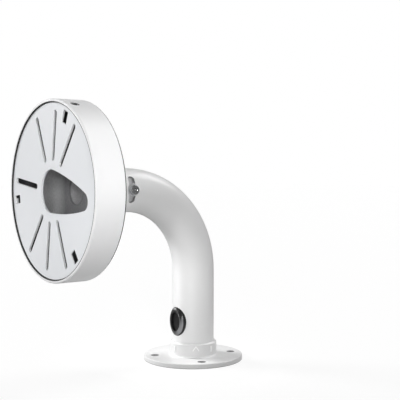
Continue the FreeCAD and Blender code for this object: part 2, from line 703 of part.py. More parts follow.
def draw_tab(sketch, half, top, depth):
    """A tab that hangs below the sketch's X axis and ends in a half circle."""
    low = -(depth - half)
    bottom = Part.Circle(FreeCAD.Vector(0, low.value, 0), FreeCAD.Vector(0, 0, 1), half.value)
    left = sketch.addGeometry(Part.LineSegment(
        FreeCAD.Vector(-half.value, top.value, 0), FreeCAD.Vector(-half.value, low.value, 0)), False)
    arc = sketch.addGeometry(Part.ArcOfCircle(bottom, math.pi, 2 * math.pi), False)
    right = sketch.addGeometry(Part.LineSegment(
        FreeCAD.Vector(half.value, low.value, 0), FreeCAD.Vector(half.value, top.value, 0)), False)
    across = sketch.addGeometry(Part.LineSegment(
        FreeCAD.Vector(half.value, top.value, 0), FreeCAD.Vector(-half.value, top.value, 0)), False)
    rule(sketch, "Tangent", left, END, arc, START)
    rule(sketch, "Tangent", arc, END, right, START)
    rule(sketch, "Coincident", right, END, across, START)
    rule(sketch, "Coincident", across, END, left, START)
    rule(sketch, "Vertical", left)
    rule(sketch, "Horizontal", across)
    hold_point(sketch, arc, CENTRE, ZERO, low)
    hold(sketch, "Radius", arc, size=half)
    hold(sketch, "DistanceY", *ORIGIN_POINT, across, START, size=top)


# Screws and washer: each screw points along +Z in its own frame, with its head's seat at 0

def build_screw(name, placement, thread, length, head_dia, head_height, head_round, key, key_depth):
    body = new_body(name, placement)
    profile = new_sketch(body, name + "_profile", "XZ_Plane")
    draw_outline(profile, (
        (ZERO, -length), (thread / 2, -length), (thread / 2, ZERO), (head_dia / 2, ZERO),
        (head_dia / 2, head_height), (ZERO, head_height)))
    turned = revolve(body, name + "_turned", profile)
    doc.recompute()
    rim = ring_edges(turned, head_dia / 2, head_height)
    dress(body, name + "_head_round", "Fillet", turned, rim, head_round)
    socket = new_sketch(body, name + "_key_sketch", "XY_Plane", shift(0, 0, head_height))
    draw_hexagon(socket, key)
    pocket(body, name + "_key", socket, key_depth, along=False)
    return body


def build_rim_screw():
    placement = chain(HEAD, radial(tab_angle(1), rim_place, rim_seat))
    return build_screw("rim_screw_1", placement, s["rim_thread"], s["rim_length"],
                       s["rim_head_dia"], s["rim_head_height"], s["rim_head_round"],
                       s["rim_key"], s["rim_key_depth"])


def build_clamp_screw():
    placement = chain(HEAD, radial(s["clamp_turn"], clamp_place, clamp_seat))
    return build_screw("clamp_screw", placement, s["clamp_thread"], s["clamp_length"],
                       s["clamp_head_dia"], s["clamp_head_height"], s["clamp_head_round"],
                       s["clamp_key"], s["clamp_key_depth"])


def build_washer():
    seat = tube_radius + s["washer_gap"]
    body = new_body("clamp_washer", chain(HEAD, radial(s["clamp_turn"], clamp_place, seat)))
    ring = new_sketch(body, "washer_sketch", "XY_Plane")
    draw_circle(ring, ZERO, ZERO, s["washer_dia"])
    draw_circle(ring, ZERO, ZERO, s["washer_hole"])
    pad(body, "washer", ring, s["washer_thick"])
    return body


# Building, checking and writing the pieces

def check_document():
    """Stops at any object that did not compute."""
    doc.recompute()
    for item in doc.Objects:
        if "Invalid" in item.State or "Error" in item.State:
            raise RuntimeError(item.Name + " is " + ", ".join(item.State))


def write_pieces(bodies):
    """Writes each piece's solid to its own file, named by its label."""
    os.makedirs("parts", exist_ok=True)
    for body in bodies:
        shape = body.Shape
        if shape.isNull() or not shape.isValid() or len(shape.Solids) != 1:
            raise RuntimeError(body.Label + " is not one valid solid")
        print(body.Label, "volume", round(shape.Volume, 1), "box", shape.BoundBox)
    for body in bodies:
        body.Shape.exportStep("parts/" + body.Label + ".step")


pieces = [build_flange(), build_arm(), build_plug(), build_cap(), build_plate(),
          build_rim_screw(), build_clamp_screw(), build_washer()]
check_document()
write_pieces(pieces)
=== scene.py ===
"""Dressed scene of a camera wall bracket: its finishes, screws, studio and camera.

Lengths are in metres, in the part's own frame. The origin is the middle of the wall flange's
back, +Z is the wall's outward normal, and the round cap's mouth faces -Y.
"""
import logging
import math
from dataclasses import dataclass
from enum import Enum
from typing import Mapping, Optional, Sequence, Union

import bpy
from mathutils import Matrix, Vector


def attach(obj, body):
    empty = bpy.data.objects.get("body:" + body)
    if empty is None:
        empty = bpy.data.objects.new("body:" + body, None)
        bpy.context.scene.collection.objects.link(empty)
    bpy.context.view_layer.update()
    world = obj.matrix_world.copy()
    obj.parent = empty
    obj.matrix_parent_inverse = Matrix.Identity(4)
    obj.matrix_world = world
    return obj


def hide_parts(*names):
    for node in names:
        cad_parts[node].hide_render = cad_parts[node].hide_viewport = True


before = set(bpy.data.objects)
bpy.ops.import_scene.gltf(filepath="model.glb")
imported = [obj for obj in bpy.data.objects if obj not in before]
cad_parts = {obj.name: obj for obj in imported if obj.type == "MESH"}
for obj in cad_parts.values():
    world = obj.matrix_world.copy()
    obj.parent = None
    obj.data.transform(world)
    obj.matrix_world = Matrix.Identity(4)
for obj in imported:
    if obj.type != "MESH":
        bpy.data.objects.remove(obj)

LOG = logging.getLogger("bracket")
Colour = tuple[float, float, float]
Place = tuple[float, float, float]
MM = 0.001
WHITE = (1.0, 1.0, 1.0)

# The level axis of the arm's end, and where the two screws sit about it and along it
AXIS_HEIGHT = 131 * MM
RIM_SCREW_TURN = 67.5
RIM_SCREW_PLACE = -115.5 * MM
CLAMP_PLACE = -65.2 * MM

# The attribute that keeps each point's place before its piece is moved
OWN_PLACE = "own_place"


# Shader maths

class Port:
    """An output of a shader node, with which sums are written as plain expressions."""

    def __init__(self, graph: "Graph", socket: bpy.types.NodeSocket) -> None:
        """Keeps the output and the graph it belongs to.

        Args:
            graph: The graph that new nodes are added to.
            socket: The output that this port stands for.
        """
        self.graph = graph
        self.socket = socket

    def _sum(self, operation: str, first: "Value", second: "Value") -> "Port":
        """Adds one Math node.

        Args:
            operation: The Math node's operation.
            first: Its first value or link.
            second: Its second value or link.

        Returns:
            The result's port.
        """
        return self.graph.add("ShaderNodeMath", {"operation": operation}, {0: first, 1: second})

    def __add__(self, other: "Value") -> "Port":
        """This plus the other."""
        return self._sum("ADD", self, other)

    def __radd__(self, other: "Value") -> "Port":
        """The other plus this."""
        return self._sum("ADD", other, self)

    def __sub__(self, other: "Value") -> "Port":
        """This minus the other."""
        return self._sum("SUBTRACT", self, other)

    def __rsub__(self, other: "Value") -> "Port":
        """The other minus this."""
        return self._sum("SUBTRACT", other, self)

    def __mul__(self, other: "Value") -> "Port":
        """This times the other."""
        return self._sum("MULTIPLY", self, other)

    def __rmul__(self, other: "Value") -> "Port":
        """The other times this."""
        return self._sum("MULTIPLY", other, self)

    def below(self, limit: "Value") -> "Port":
        """1 where this is under the limit, and else 0."""
        return self._sum("LESS_THAN", self, limit)

    def above(self, limit: "Value") -> "Port":
        """1 where this is over the limit, and else 0."""
        return self._sum("GREATER_THAN", self, limit)

    def larger(self, other: "Value") -> "Port":
        """The larger of the two."""
        return self._sum("MAXIMUM", self, other)

    def smaller(self, other: "Value") -> "Port":
        """The smaller of the two."""
        return self._sum("MINIMUM", self, other)

    def size(self) -> "Port":
        """This without its sign."""
        return self._sum("ABSOLUTE", self, 0.0)

    def sine(self) -> "Port":
        """The sine of this."""
        return self._sum("SINE", self, 0.0)

    def root(self) -> "Port":
        """The square root of this."""
        return self._sum("SQRT", self, 0.0)

    def distance(self, other: "Port") -> "Port":
        """How far a point is from the origin, if these are its two coordinates."""
        return (self * self + other * other).root()


Value = Union[Port, float, int, Sequence[float]]


class Graph:
    """A material's or the world's node tree, filled from one method."""

    def __init__(self, owner: Union[bpy.types.Material, bpy.types.World]) -> None:
        """Starts an empty tree.

        Args:
            owner: The material or world that the tree belongs to.
        """
        owner.use_nodes = True
        self.tree = owner.node_tree
        self.tree.nodes.clear()

    def add(self, kind: str, settings: Optional[Mapping[str, object]] = None,
            values: Optional[Mapping[Union[str, int], Value]] = None,
            output: Union[str, int] = 0) -> Port:
        """Adds one node, sets it up and links its inputs.

        Args:
            kind: The node's type.
            settings: Its own settings, and "stops" for a ramp's positions and colours.
            values: Numbers, colours or ports, by the input's name or place.
            output: The output that is wanted, by name or place.

        Returns:
            The wanted output's port.
        """
        node = self.tree.nodes.new(kind)
        for name, setting in (settings or {}).items():
            if name == "stops":
                self._set_stops(node.color_ramp, setting)
            else:
                setattr(node, name, setting)
        for name, value in (values or {}).items():
            if isinstance(value, Port):
                self.tree.links.new(value.socket, node.inputs[name])
            else:
                node.inputs[name].default_value = value
        return Port(self, node.outputs[output])

    @staticmethod
    def _set_stops(ramp: bpy.types.ColorRamp, stops: Sequence[tuple[float, float]]) -> None:
        """Sets a ramp's grey stops.

        Args:
            ramp: The ramp of the node.
            stops: Pairs of position and grey value, in order.
        """
        while len(ramp.elements) < len(stops):
            ramp.elements.new(1.0)
        for element, (place, grey) in zip(ramp.elements, stops):
            element.position = place
            element.color = (grey, grey, grey, 1.0)

    def place(self) -> Port:
        """The point on the piece, in the part's own frame."""
        return self.add("ShaderNodeTexCoord", output="Object")

    def split(self, vector: Port) -> tuple[Port, Port, Port]:
        """The vector's three parts.

        Args:
            vector: The vector to split.

        Returns:
            Its X, Y and Z.
        """
        parts = self.add("ShaderNodeSeparateXYZ", values={0: vector})
        outputs = parts.socket.node.outputs
        return Port(self, outputs[0]), Port(self, outputs[1]), Port(self, outputs[2])

    def noise(self, vector: Port, size: float, detail: float = 2.0, rough: float = 0.5) -> Port:
        """Cloudy noise from 0 to 1.

        Args:
            vector: Where it is read.
            size: The size of its clouds, in metres.
            detail: How many finer layers it has.
            rough: How strong the finer layers are.

        Returns:
            The noise's value.
        """
        return self.add("ShaderNodeTexNoise", {"noise_dimensions": "3D"}, {
            "Vector": vector, "Scale": 1.0 / size, "Detail": detail, "Roughness": rough}, "Fac")

    def ramp(self, value: Port, stops: Sequence[tuple[float, float]]) -> Port:
        """The value through a ramp of grey stops.

        Args:
            value: The value that is looked up.
            stops: Pairs of position and grey value, in order.

        Returns:
            The ramp's grey.
        """
        return self.add("ShaderNodeValToRGB", {"stops": stops}, {0: value})

    def blend(self, amount: Value, first: Value, second: Value) -> Port:
        """A colour between two others.

        Args:
            amount: 0 gives the first colour and 1 the second.
            first: A colour or a port.
            second: A colour or a port.

        Returns:
            The blended colour.
        """
        return self.add("ShaderNodeMix", {"data_type": "RGBA", "clamp_factor": True}, {
            0: amount, 6: first, 7: second}, 2)

    def bump(self, height: Port, rise: float, strength: float) -> Port:
        """A bumped normal.

        Args:
            height: The relief from 0 to 1.
            rise: What 1 stands for, in metres.
            strength: How much of it shows.

        Returns:
            The normal.
        """
        return self.add("ShaderNodeBump", values={
            "Strength": strength, "Distance": rise, "Height": height}, output="Normal")

    def shader(self, values: Mapping[str, Value]) -> Port:
        """A Principled shader.

        Args:
            values: The shader's inputs, by name.

        Returns:
            The shader.
        """
        return self.add("ShaderNodeBsdfPrincipled", values=values)

    def surface(self, values: Mapping[str, Value]) -> None:
        """Ends the tree in a Principled shader.

        Args:
            values: The shader's inputs, by name.
        """
        self.end(self.shader(values), "ShaderNodeOutputMaterial")

    def end(self, shader: Port, kind: str) -> None:
        """Links a shader to the tree's output.

        Args:
            shader: The last shader.
            kind: The output node's type.
        """
        node = self.tree.nodes.new(kind)
        self.tree.links.new(shader.socket, node.inputs["Surface"])


def opaque(colour: Colour, share: float = 1.0) -> tuple[float, float, float, float]:
    """The colour with full alpha.

    Args:
        colour: Red, green and blue.
        share: What the colour is multiplied by.

    Returns:
        Four numbers for a socket.
    """
    return (colour[0] * share, colour[1] * share, colour[2] * share, 1.0)


def turned(first: Port, second: Port, turn: float) -> tuple[Port, Port]:
    """Two coordinates of a point, read on axes that are turned about the origin.

    Args:
        first: The first coordinate.
        second: The second coordinate.
        turn: The turn of the new axes, in degrees.

    Returns:
        The point's place along the new first axis, and along the new second one.
    """
    across, along = math.sin(math.radians(turn)), math.cos(math.radians(turn))
    return first * along + second * across, second * along - first * across


def about_axis(graph: Graph, place: Port) -> tuple[Port, Port, Port, Port]:
    """A point's place about the axis of the arm's end, which runs along Y.

    Args:
        graph: The material's graph.
        place: The point on the piece.

    Returns:
        Its X, its Y, its height over the axis and its distance from it.
    """
    x, y, z = graph.split(place)
    up = z - AXIS_HEIGHT
    return x, y, up, x.distance(up)


# Finishes

@dataclass(frozen=True)
class PowderCoat:
    """Satin powder coat, with its fine orange peel and a faint cloudiness."""

    name: str
    colour: Colour
    # The bare colour is dark, so that it also paints the shade in holes, slots and recesses.
    bare: Colour = (0.16, 0.16, 0.165)
    bare_share: float = 0.86
    bare_gloss: float = 0.3
    grain_size: float = 1.6 * MM
    cloud_size: float = 22 * MM
    cloud_share: float = 0.985
    roughness: float = 0.42
    gloss_size: float = 6 * MM
    gloss_swing: float = 0.08
    peel_size: float = 0.9 * MM
    peel_rise: float = 0.012 * MM
    fine_size: float = 0.315 * MM
    fine_share: float = 0.3

    def bare_and_shaded(self, graph: Graph, place: Port) -> Port:
        """1 where the bare colour replaces the coat, on bare metal and under painted shade, and else 0."""
        raise NotImplementedError

    def tint(self, graph: Graph, place: Port) -> Port:
        """The coat's colour, clouded a little."""
        cloud = graph.ramp(graph.noise(place, self.cloud_size, 3.0), ((0.35, 0.0), (0.65, 1.0)))
        return graph.blend(cloud, opaque(self.colour, self.cloud_share), opaque(self.colour))

    def grain(self, graph: Graph, place: Port) -> Port:
        """The bare metal's grain, from 0 to 1, which is coarser than the coat's."""
        return graph.ramp(graph.noise(place, self.grain_size, 4.0, 0.7), ((0.3, 0.0), (0.7, 1.0)))

    def metal(self, graph: Graph, place: Port) -> Port:
        """The bare metal's colour, kept dark as painted shade."""
        return graph.blend(self.grain(graph, place), opaque(self.bare, self.bare_share), opaque(self.bare))

    def material(self) -> bpy.types.Material:
        """Makes the material."""
        made = bpy.data.materials.new(self.name)
        graph = Graph(made)
        place = graph.place()
        bare_and_shaded = self.bare_and_shaded(graph, place)
        gloss = self.roughness + (graph.noise(place, self.gloss_size, 2.0) - 0.5) * self.gloss_swing
        fine = graph.noise(place, self.fine_size, 1.0) * self.fine_share
        peel = graph.noise(place, self.peel_size, 1.0) + fine
        graph.surface({
            "Base Color": graph.blend(bare_and_shaded, self.tint(graph, place), self.metal(graph, place)),
            "Roughness": gloss + bare_and_shaded * self.bare_gloss,
            "Normal": graph.bump(peel, self.peel_rise, 0.6),
            "Specular IOR Level": 0.5, "Coat Weight": 0.12, "Coat Roughness": 0.18})
        return made


@dataclass(frozen=True)
class FlangeCoat(PowderCoat):
    """The coat on the wall flange, with bare metal in its drilled screw holes, darkened as painted shade.
    """

    circle_radius: float = 30 * MM
    hole_radius: float = 3.3 * MM
    hole_top: float = 3.35 * MM
    turn: float = -24.5
    mark_highlight: Colour = (0.94, 0.94, 0.94)
    side_shade_share: float = 0.84
    foot_shadow_share: float = 0.4
    foot_height: float = 0.4 * MM
    edge_radius: float = 37.6 * MM
    collar_low: float = 4.6 * MM
    collar_high: float = 13.1 * MM
    mark_radius: float = 18.15 * MM

    def tint(self, graph: Graph, place: Port) -> Port:
        """The coat's colour: greyer on upright walls as painted shade, with a painted shadow at the foot
        and a painted highlight on the raised marks.
        """
        x, y, z = graph.split(place)
        radius = x.distance(y)
        collar = z.above(self.collar_low) * z.below(self.collar_high)
        # Painted shade: the collar and the flange's outer wall are greyer than the top.
        upright = collar.larger(radius.above(self.edge_radius))
        coat = graph.blend(upright, super().tint(graph, place), opaque(self.colour, self.side_shade_share))
        # Painted shadow: a dark line along the foot, where the flange meets the wall.
        coat = graph.blend(z.below(self.foot_height), coat, opaque(self.colour, self.foot_shadow_share))
        # Painted highlight: the raised marks on the collar are paler.
        return graph.blend(collar * radius.above(self.mark_radius), coat, opaque(self.mark_highlight))

    def bare_and_shaded(self, graph: Graph, place: Port) -> Port:
        """1 in the four screw holes, which are found on a quarter of the flange."""
        x, y, z = graph.split(place)
        first, second = turned(x, y, self.turn)
        first, second = first.size(), second.size()
        out = first.larger(second) - self.circle_radius
        return out.distance(first.smaller(second)).below(self.hole_radius) * z.below(self.hole_top)


@dataclass(frozen=True)
class ArmCoat(PowderCoat):
    """The coat on the bent arm, with bare cut edges in the clamp's slot, darkened as painted shade."""

    slot_half: float = 2.7 * MM
    bore_radius: float = 14.05 * MM
    outer_radius: float = 15.85 * MM

    def bare_and_shaded(self, graph: Graph, place: Port) -> Port:
        """1 on the slot's cut edges, between the tube's bore and its outside."""
        _, y, _, radius = about_axis(graph, place)
        cut = radius.above(self.bore_radius) * radius.below(self.outer_radius)
        return cut * (y - CLAMP_PLACE).size().below(self.slot_half)


@dataclass(frozen=True)
class CapCoat(PowderCoat):
    """The coat outside the cap, the bare cast metal inside it, and painted shade in the gap round its
    plate.

    The inside is dark grey as painted shade, paler towards -X as painted light, and darker towards its
    edges as painted shade. A thin line of painted shade also runs round the rounded edge of the cap's
    back, and painted shade darkens the rim screw's recess.
    """

    # The inside colour below is painted shade, the pale one is painted light towards -X, and the darkest
    # one is painted shade towards the inside's edges.
    inside: Colour = (0.28, 0.28, 0.29)
    pale: Colour = (0.95, 0.95, 0.96)
    spigot: Colour = (0.62, 0.62, 0.63)
    corner_shade: Colour = (0.04, 0.04, 0.042)
    # The near-black colour below paints shade in the gap round the plate, on the back edge and in the
    # screw's recess, and also darkens the grain inside.
    dark_grain_and_shade: Colour = (0.03, 0.03, 0.03)
    grain_share: float = 0.25
    painted_light_place: float = -33 * MM
    painted_light_span: float = 18 * MM
    painted_light_up: float = 17 * MM
    painted_light_side: float = 50 * MM
    fade: float = 7 * MM
    spigot_radius: float = 14.2 * MM
    floor_place: float = -100.6 * MM
    back_shade_low: float = -100.5 * MM
    back_shade_high: float = -99.2 * MM
    back_shade_radius: float = 61 * MM
    joint_inner: float = 59.9 * MM
    joint_outer: float = 61.2 * MM
    joint_place: float = -119.6 * MM
    recess_radius: float = 3.15 * MM
    recess_outer: float = 62.88 * MM

    def bare_and_shaded(self, graph: Graph, place: Port) -> Port:
        """1 on the inner faces, the spigot, the line of painted shade on the back edge and the rim screw's
        recess.
        """
        x, y, up, radius = about_axis(graph, place)
        cavity = radius.below(self.joint_outer) * y.below(self.floor_place)
        inner = cavity.larger(radius.below(self.spigot_radius))
        return inner.larger(self.back_edge_shade(y, radius)).larger(self.recess(x, y, up, radius))

    def back_edge_shade(self, y: Port, radius: Port) -> Port:
        """1 on the rounded edge between the cap's side and its back, where a thin line of shade is
        painted, and else 0.
        """
        return radius.above(self.back_shade_radius) * y.above(self.back_shade_low) * y.below(self.back_shade_high)

    def recess(self, x: Port, y: Port, up: Port, radius: Port) -> Port:
        """1 in the recess of the screw in the side wall.

        Args:
            x: The point's place along X.
            y: The point's place along Y.
            up: Its height over the cap's axis.
            radius: Its distance from that axis.

        Returns:
            The mask.
        """
        out, aside = turned(x, up, RIM_SCREW_TURN)
        near = aside.distance(y - RIM_SCREW_PLACE).below(self.recess_radius)
        return near * out.above(0.0) * radius.below(self.recess_outer)

    def metal(self, graph: Graph, place: Port) -> Port:
        """The inside's colours, with painted light and shade, and painted shade in the gap round the
        plate, on the back edge and in the screw's recess.
        """
        x, y, up, radius = about_axis(graph, place)
        # Painted light: paler towards -X, where the inside lies in its deepest shade.
        casting_light_and_shade = graph.blend((x - self.painted_light_place) * (1.0 / self.painted_light_span),
                              opaque(self.pale), opaque(self.inside))
        # Painted shade: darker above and below the middle of the inside, and far towards -X.
        beyond = (up.size() - self.painted_light_up).larger(-1.0 * x - self.painted_light_side)
        casting_light_and_shade = graph.blend(beyond * (1.0 / self.fade), casting_light_and_shade, opaque(self.corner_shade))
        casting_light_and_shade = graph.blend(y.above(self.floor_place), casting_light_and_shade, opaque(self.spigot))
        casting_light_and_shade = graph.blend(self.grain(graph, place) * self.grain_share, casting_light_and_shade, opaque(self.dark_grain_and_shade))
        # Painted shade in the gap between the plate's edge and the lip, on the rounded back edge and in
        # the rim screw's recess.
        ring = radius.above(self.joint_inner) * radius.below(self.joint_outer)
        dark = (ring * y.below(self.joint_place)).larger(self.back_edge_shade(y, radius))
        return graph.blend(dark.larger(self.recess(x, y, up, radius)), casting_light_and_shade, opaque(self.dark_grain_and_shade))


@dataclass(frozen=True)
class PlateCoat:
    """Smooth thin paint on pressed steel, with a faint rolling grain under it."""

    name: str
    colour: Colour
    cut: Colour = (0.80, 0.81, 0.82)
    # The near-black colour below is painted shade in the windows and on the tabs behind them.
    back: Colour = (0.05, 0.05, 0.052)
    roughness: float = 0.36
    gloss_swing: float = 0.08
    cloud_size: float = 30 * MM
    cloud_share: float = 0.985
    grain_size: float = 0.7 * MM
    grain_share: float = 0.4
    grain_stretch: float = 0.08
    peel_size: float = 1.4 * MM
    peel_rise: float = 0.006 * MM
    face_place: float = -121 * MM
    face_skin: float = 0.1 * MM
    eye_radius: float = 17.5 * MM
    tab_turns: tuple[float, ...] = (RIM_SCREW_TURN, RIM_SCREW_TURN + 120, RIM_SCREW_TURN + 240)
    tab_radius: float = 49 * MM
    tab_half: float = 3.3 * MM
    dark_depth: float = 0.8 * MM
    lit_turn: float = RIM_SCREW_TURN + 120
    lit_radius: float = 55.5 * MM
    lit_depth: float = 2.3 * MM
    lit_from: float = -1.2 * MM

    def steel(self, graph: Graph, place: Port, paint: Port) -> Port:
        """The paint, thinner on the walls of the slots, with painted shade in the windows and on the tabs.

        One tab faces the light, and the painted shade is left off it near the bend.

        Args:
            graph: The material's graph.
            place: The point on the piece.
            paint: The colour on the plate's face.

        Returns:
            The colour.
        """
        x, y, up, radius = about_axis(graph, place)
        walls = y.above(self.face_place + self.face_skin) * radius.above(self.eye_radius)
        colour = graph.blend(walls, paint, opaque(self.cut))
        deep = y.above(self.face_place + self.dark_depth)
        # Painted shade on each tab and in its window, left off the lit tab near the bend.
        for angle in self.tab_turns:
            out, aside = turned(x, up, angle)
            dark = deep * out.above(self.tab_radius) * aside.size().below(self.tab_half)
            if angle == self.lit_turn:
                lit = out.above(self.lit_radius) * y.below(self.face_place + self.lit_depth)
                dark = dark * (1.0 - lit * aside.above(self.lit_from))
            colour = graph.blend(dark, colour, opaque(self.back))
        return colour

    def material(self) -> bpy.types.Material:
        """Makes the material."""
        made = bpy.data.materials.new(self.name)
        graph = Graph(made)
        place = graph.place()
        cloud = graph.ramp(graph.noise(place, self.cloud_size, 2.0), ((0.3, 0.0), (0.7, 1.0)))
        stretched = graph.add("ShaderNodeMapping", {"vector_type": "POINT"}, {
            "Vector": place, "Scale": (self.grain_stretch, 1.0, 1.0)}, "Vector")
        grain = graph.noise(stretched, self.grain_size, 2.0)
        peel = graph.noise(place, self.peel_size, 1.0)
        paint = graph.blend(cloud, opaque(self.colour, self.cloud_share), opaque(self.colour))
        graph.surface({
            "Base Color": self.steel(graph, place, paint),
            "Roughness": self.roughness + (grain - 0.5) * self.gloss_swing,
            "Normal": graph.bump(peel + grain * self.grain_share, self.peel_rise, 0.5),
            "Specular IOR Level": 0.5, "Coat Weight": 0.1, "Coat Roughness": 0.12})
        return made


@dataclass(frozen=True)
class MouldedRubber:
    """Black moulded rubber: a fine matt face, a polished shoulder, faint grey blooming, and a painted
    highlight low on one side of the shoulder.
    """

    name: str
    colour: Colour
    # The grey below is both the rubber's faint blooming and a painted highlight on the shoulder.
    bloom_and_highlight_colour: Colour = (0.26, 0.26, 0.27)
    bloom_size: float = 5 * MM
    highlight_across: float = 0.85
    highlight_up: float = 0.55
    highlight_edge: float = 0.42
    highlight_gain: float = 2.4
    roughness: float = 0.34
    gloss_swing: float = 0.12
    skin_size: float = 0.25 * MM
    skin_rise: float = 0.01 * MM
    middle_height: float = 30 * MM
    half_width: float = 9.1 * MM
    half_height: float = 11 * MM
    face_share: float = 0.66
    rim_share: float = 0.95

    def material(self) -> bpy.types.Material:
        """Makes the material."""
        made = bpy.data.materials.new(self.name)
        graph = Graph(made)
        place = graph.place()
        bloom_and_highlight = graph.ramp(graph.noise(place, self.bloom_size, 3.0), ((0.4, 0.0), (0.75, 0.04)))
        skin = graph.noise(place, self.skin_size, 2.0)
        x, _, z = graph.split(place)
        across, up = x * (1.0 / self.half_width), (z - self.middle_height) * (1.0 / self.half_height)
        share = across.distance(up)
        shoulder = share.above(self.face_share)
        # Painted highlight: the shoulder is paler towards +X and low down, inside its rim.
        low = (across * self.highlight_across - up * self.highlight_up - self.highlight_edge) * self.highlight_gain
        bloom_and_highlight = bloom_and_highlight.larger(low * share.below(self.rim_share) * shoulder)
        graph.surface({
            "Base Color": graph.blend(bloom_and_highlight, opaque(self.colour), opaque(self.bloom_and_highlight_colour)),
            "Roughness": self.roughness + (bloom_and_highlight - 0.5) * self.gloss_swing,
            "Normal": graph.bump(skin, self.skin_rise, 0.5), "Specular IOR Level": 0.15,
            "Coat Weight": shoulder * 0.5, "Coat Roughness": 0.3})
        return made


@dataclass(frozen=True)
class TurnedSteel:
    """Stainless steel with turning marks about each screw's own axis."""

    name: str
    colour: Colour
    roughness: float = 0.2
    gloss_swing: float = 0.2
    mark: float = 0.14 * MM
    mark_rise: float = 0.004 * MM
    smear_size: float = 0.8 * MM
    smear_share: float = 0.8

    def material(self) -> bpy.types.Material:
        """Makes the material."""
        made = bpy.data.materials.new(self.name)
        graph = Graph(made)
        own = graph.add("ShaderNodeAttribute", {"attribute_name": OWN_PLACE}, output="Vector")
        x, y, _ = graph.split(own)
        rings = (x.distance(y) * (math.tau / self.mark)).sine() * 0.5 + 0.5
        smear = graph.noise(graph.place(), self.smear_size, 3.0)
        graph.surface({
            "Base Color": graph.blend(smear, opaque(self.colour, self.smear_share), opaque(self.colour)),
            "Metallic": 1.0, "Roughness": self.roughness + (smear - 0.5) * self.gloss_swing,
            "Normal": graph.bump(rings, self.mark_rise, 0.35)})
        return made


# Turned pieces

@dataclass(frozen=True)
class Ring:
    """One ring of a turned piece: its height, its radius, and its sides if it isn't round."""

    height: float
    radius: float
    sides: int = 0

    def reach(self, angle: float) -> float:
        """How far the ring is from the axis at an angle.

        Args:
            angle: The turn about the axis, in radians.

        Returns:
            The distance, which varies on a ring with sides.
        """
        if not self.sides:
            return self.radius
        step = math.tau / self.sides
        return self.radius / math.cos((angle % step) - step / 2)


def turned_mesh(name: str, rings: Sequence[Ring], segments: int = 48,
                hollow: bool = False) -> bpy.types.Mesh:
    """Makes a closed turned mesh about Z, with each point's own place kept as an attribute.

    Args:
        name: The mesh's name.
        rings: Its rings, from the bottom outside round to the top.
        segments: How many points a ring has.
        hollow: Whether the last ring joins the first, as on a washer.

    Returns:
        The mesh.
    """
    points: list[Vector] = []
    for ring in rings:
        for index in range(segments):
            angle = math.tau * index / segments
            reach = ring.reach(angle)
            points.append(Vector((reach * math.cos(angle), reach * math.sin(angle), ring.height)))
    faces: list[Sequence[int]] = []
    spans = len(rings) if hollow else len(rings) - 1
    for span in range(spans):
        low, high = span * segments, (span + 1) % len(rings) * segments
        for index in range(segments):
            after = (index + 1) % segments
            faces.append((low + index, low + after, high + after, high + index))
    if not hollow:
        faces.append(tuple(reversed(range(segments))))
        faces.append(tuple(range((len(rings) - 1) * segments, len(rings) * segments)))
    mesh = bpy.data.meshes.new(name)
    mesh.from_pydata(points, [], faces)
    own = mesh.attributes.new(OWN_PLACE, "FLOAT_VECTOR", "POINT")
    own.data.foreach_set("vector", [part for point in points for part in point])
    mesh.update()
    return mesh


@dataclass
class TurnedScrew:
    """A screw about Z whose head sits on height 0, with its shank below.

    The tip, the core, the thread and its ridge are given as shares of the shank's radius or length,
    and key_mouth, key_drill and key_tip as shares of half the key.
    """

    name: str
    thread: float
    length: float
    head: float
    head_height: float
    head_round: float
    key: float
    key_depth: float
    key_sides: int = 6
    key_mouth: float = 1.24
    key_drill: float = 0.35
    key_tip: float = 0.06
    mouth_depth: float = 0.14 * MM
    edge: float = 0.12 * MM
    round_steps: int = 6
    tip_share: float = 0.72
    tip_length: float = 0.25
    core_share: float = 0.9
    pitch: float = 0.5 * MM
    threaded: float = 0.94
    ridge_place: float = 0.93
    ridge_share: float = 0.09
    ribs: int = 0
    rib: float = 0.16 * MM
    rib_sink: float = 0.064 * MM
    rib_low: float = 0.25 * MM

    def rings(self) -> list[Ring]:
        """The screw's rings, from the shank's tip to the floor of the key's recess."""
        shank, head, top, flat = self.thread / 2, self.head / 2, self.head_height, self.key / 2
        tip, core, floor = -self.length, shank * self.core_share, top - self.key_depth
        rings = [Ring(tip, shank * self.tip_share), Ring(tip + shank * self.tip_length, core),
                 Ring(0.0, core), Ring(0.0, head - self.edge), Ring(self.edge, head)]
        for step in range(self.round_steps + 1):
            turn = math.pi / 2 * step / self.round_steps
            rings.append(Ring(top - self.head_round * (1 - math.sin(turn)),
                              head - self.head_round * (1 - math.cos(turn))))
        rings += [Ring(top, flat * self.key_mouth), Ring(top - self.mouth_depth, flat, self.key_sides),
                  Ring(floor, flat, self.key_sides),
                  Ring(floor - flat * self.key_drill, flat * self.key_tip)]
        return rings

    def build(self, steel: bpy.types.Material) -> bpy.types.Object:
        """Makes the screw with its thread, at the origin.

        Args:
            steel: Its material.

        Returns:
            The screw, to be placed by its user.
        """
        body = bpy.data.objects.new(self.name, turned_mesh(self.name, self.rings()))
        bpy.context.scene.collection.objects.link(body)
        shank = self.thread / 2
        tree = ThreadTree()
        tree.fill(tree.attach(body), {
            "Length": self.length * self.threaded, "Radius": shank * self.ridge_place,
            "Pitch": self.pitch, "Ridge": shank * self.ridge_share, "Finish": steel})
        if self.ribs:
            knurl = KnurlTree()
            knurl.fill(knurl.attach(body), {
                "Ribs": self.ribs, "Radius": self.head / 2 - self.rib_sink, "Rib": self.rib,
                "Low": self.rib_low, "Height": self.head_height - self.head_round - self.rib_low,
                "Finish": steel})
        return settled(body)


# Geometry Nodes

